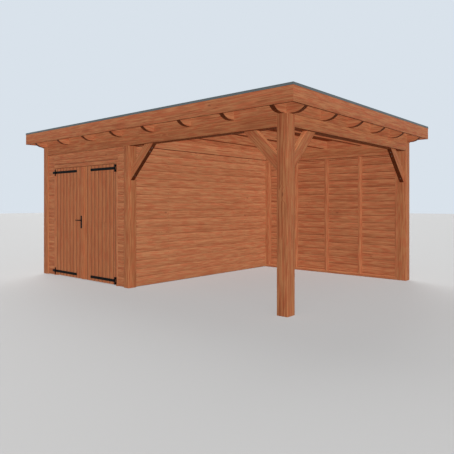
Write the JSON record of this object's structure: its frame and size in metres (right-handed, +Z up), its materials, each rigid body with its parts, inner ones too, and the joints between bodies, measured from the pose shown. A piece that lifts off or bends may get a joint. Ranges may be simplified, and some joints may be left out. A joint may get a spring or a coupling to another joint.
{
  "type": "timber carport with shed",
  "caption": "Flat-roofed timber carport: an open bay on braced posts beside a closed board-clad shed with double strap-hinged doors and a lever handle.",
  "frame": {"origin": "middle of the plan at ground level", "axes": "+X along the front towards the open bay, +Y from the doors to the back, +Z up"},
  "size_m": [5.928, 4.138, 2.608],
  "materials": {
    "timber": "stained reddish brown, matt",
    "black_metal": "black powder coat",
    "edge_trim": "dark grey coated",
    "roof_sheet": "matt black sheet"
  },
  "bodies": {
    "building": {"front_left_post": "timber", "front_middle_post": "timber", "front_right_post": "timber", "back_left_post": "timber", "back_middle_post": "timber", "back_right_post": "timber", "front_beam": "timber", "back_beam": "timber", "left_beam": "timber", "right_beam": "timber", "partition_beam": "timber", "braces": "timber", "rafters": "timber", "lookouts": "timber", "eave_blocking": "timber", "front_fascia": "timber", "back_fascia": "timber", "left_fascia": "timber", "right_fascia": "timber", "roof_deck": "timber", "front_wall_sides": "timber", "front_wall_head": "timber", "left_wall": "timber", "back_wall": "timber", "partition_wall": "timber", "wall_studs": "timber", "wall_rails": "timber", "door_jambs": "timber", "door_head": "timber", "door_stops": "timber", "front_trim": "edge_trim", "back_trim": "edge_trim", "left_trim": "edge_trim", "right_trim": "edge_trim", "hinge_plates": "black_metal", "roof_covering": "roof_sheet"},
    "left_door": {"left_door_boards": "timber", "left_door_ledges": "timber", "left_door_straps": "black_metal", "handle_plates": "black_metal"},
    "right_door": {"right_door_boards": "timber", "right_door_ledges": "timber", "right_door_straps": "black_metal"},
    "lever": {"door_lever": "black_metal"}
  },
  "joints": [
    {"name": "left_door_hinge", "type": "hinge", "parent": "building", "child": "left_door", "pos_m": [-2.332, -1.82905, 0.98], "axis": [0, 0, -1], "range_deg": [0, 170]},
    {"name": "right_door_hinge", "type": "hinge", "parent": "building", "child": "right_door", "pos_m": [-0.538, -1.82905, 0.98], "axis": [0, 0, 1], "range_deg": [0, 170]},
    {"name": "lever_turn", "type": "hinge", "parent": "left_door", "child": "lever", "pos_m": [-1.497, -1.815, 1.015], "axis": [0, -1, 0], "range_deg": [0, 40], "stiffness_Nm_per_rad": 2, "springref_deg": -34.38}
  ]
}
